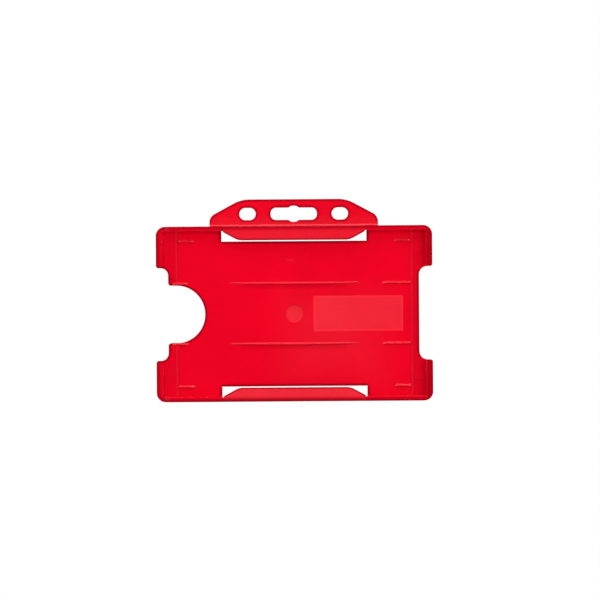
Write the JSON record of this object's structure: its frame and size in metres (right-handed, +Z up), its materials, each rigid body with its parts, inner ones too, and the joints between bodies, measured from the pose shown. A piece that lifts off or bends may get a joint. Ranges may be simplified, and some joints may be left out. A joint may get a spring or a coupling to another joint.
{
  "type": "rigid card holder",
  "caption": "Translucent red rigid card holder, open at the front, with sprung retaining lips, thumb and finger notches, card ribs and a slotted hanging tab.",
  "frame": {"origin": "middle of the keyed hanging slot in the top tab, half way through the tab's thickness", "axes": "+X along the holder towards the finger-notch end, +Y out of the flat back, so the open face looks along -Y, +Z up from the tray to the tab"},
  "size_m": [0.0912, 0.0035, 0.0667],
  "materials": {
    "tray_plastic": "satin translucent polypropylene",
    "tab_plastic": "satin translucent polypropylene",
    "lip_plastic": "satin translucent polypropylene, thin",
    "label_plastic": "smooth translucent polypropylene, thinner than the panel"
  },
  "bodies": {
    "holder_body": {"back_panel": "tray_plastic", "label_panel": "label_plastic", "gate_disc": "label_plastic", "hanging_tab": "tab_plastic", "top_wall": "tray_plastic", "bottom_wall": "tray_plastic", "upper_left_end_wall": "tray_plastic", "lower_left_end_wall": "tray_plastic", "upper_right_end_wall": "tray_plastic", "lower_right_end_wall": "tray_plastic", "right_end_pad": "tray_plastic", "upper_left_end_pad": "tray_plastic", "lower_left_end_pad": "tray_plastic", "upper_long_rib": "tray_plastic", "lower_long_rib": "tray_plastic", "upper_finger_rib": "tray_plastic", "lower_finger_rib": "tray_plastic", "upper_thumb_rib": "tray_plastic", "lower_thumb_rib": "tray_plastic", "upper_left_corner_rib": "tray_plastic", "lower_left_corner_rib": "tray_plastic", "upper_right_corner_rib": "tray_plastic", "lower_right_corner_rib": "tray_plastic"},
    "top_lip_body": {"top_lip": "lip_plastic"},
    "bottom_lip_body": {"bottom_lip": "lip_plastic"}
  },
  "joints": [
    {"name": "top_lip_flex", "type": "hinge", "parent": "holder_body", "child": "top_lip_body", "pos_m": [0, -0.0019, -0.00405], "axis": [-1, 0, 0], "range_deg": [0, 8], "stiffness_Nm_per_rad": 0.2},
    {"name": "bottom_lip_flex", "type": "hinge", "parent": "holder_body", "child": "bottom_lip_body", "pos_m": [0, -0.0019, -0.06195], "axis": [1, 0, 0], "range_deg": [0, 8], "stiffness_Nm_per_rad": 0.2}
  ]
}
